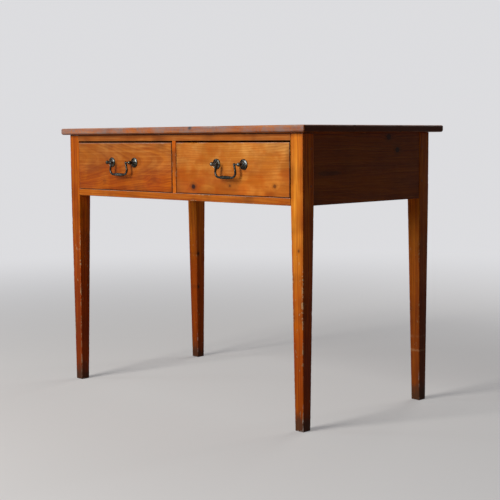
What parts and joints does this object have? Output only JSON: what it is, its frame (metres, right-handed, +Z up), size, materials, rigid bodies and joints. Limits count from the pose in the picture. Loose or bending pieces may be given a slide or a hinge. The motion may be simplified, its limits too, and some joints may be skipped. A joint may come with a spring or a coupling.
{
  "type": "pine side table",
  "caption": "Rectangular pine side table on square tapered legs, with side-by-side frieze drawers that slide on wooden runners and open by swan-neck bail handles.",
  "frame": {"origin": "on the floor, under the middle of the table's overall box", "axes": "+X along the front to the right, +Y from the drawer fronts to the back, +Z up"},
  "size_m": [0.963, 0.5584, 0.741],
  "materials": {
    "polished_pine": "old amber pine, shellac and wax, worn at the edges",
    "bare_pine": "unfinished pine, aged and dusty",
    "peg_wood": "end grain of hardwood pegs",
    "aged_brass": "cast brass with a dark patina, rubbed bright where it is touched",
    "iron": "dull dark iron"
  },
  "bodies": {
    "frame": {"top_board_front": "polished_pine", "top_board_middle": "polished_pine", "top_board_back": "polished_pine", "leg_front_left": "polished_pine", "leg_front_right": "polished_pine", "leg_rear_left": "polished_pine", "leg_rear_right": "polished_pine", "side_rail_left": "polished_pine", "side_rail_right": "polished_pine", "back_rail": "polished_pine", "front_top_rail": "polished_pine", "front_bottom_rail": "polished_pine", "drawer_divider": "polished_pine", "runner_left": "bare_pine", "runner_centre": "bare_pine", "runner_right": "bare_pine", "guide_left": "bare_pine", "guide_centre": "bare_pine", "guide_right": "bare_pine", "kicker_left": "bare_pine", "kicker_centre": "bare_pine", "kicker_right": "bare_pine", "drawer_stops": "bare_pine", "glue_blocks": "bare_pine", "top_screws": "iron", "tenon_pegs": "peg_wood", "runner_nails": "iron"},
    "left_drawer": {"left_drawer_front": "polished_pine", "left_drawer_left_side": "bare_pine", "left_drawer_right_side": "bare_pine", "left_drawer_back": "bare_pine", "left_drawer_bottom": "bare_pine", "left_drawer_bottom_nails": "iron", "left_handle_rosettes": "aged_brass", "left_handle_posts": "aged_brass", "left_handle_nuts": "aged_brass"},
    "left_bail": {"left_handle_bail": "aged_brass"},
    "right_drawer": {"right_drawer_front": "polished_pine", "right_drawer_left_side": "bare_pine", "right_drawer_right_side": "bare_pine", "right_drawer_back": "bare_pine", "right_drawer_bottom": "bare_pine", "right_drawer_bottom_nails": "iron", "right_handle_rosettes": "aged_brass", "right_handle_posts": "aged_brass", "right_handle_nuts": "aged_brass"},
    "right_bail": {"right_handle_bail": "aged_brass"}
  },
  "joints": [
    {"name": "left_drawer_slide", "type": "slide", "parent": "frame", "child": "left_drawer", "axis": [0, -1, 0], "range_m": [0, 0.34]},
    {"name": "left_bail_hinge", "type": "hinge", "parent": "left_drawer", "child": "left_bail", "pos_m": [-0.21463, -0.27375, 0.6453], "axis": [-1, 0, 0], "range_deg": [-19, 199]},
    {"name": "right_drawer_slide", "type": "slide", "parent": "frame", "child": "right_drawer", "axis": [0, -1, 0], "range_m": [0, 0.34]},
    {"name": "right_bail_hinge", "type": "hinge", "parent": "right_drawer", "child": "right_bail", "pos_m": [0.21363, -0.27375, 0.6453], "axis": [-1, 0, 0], "range_deg": [-19, 199]}
  ]
}
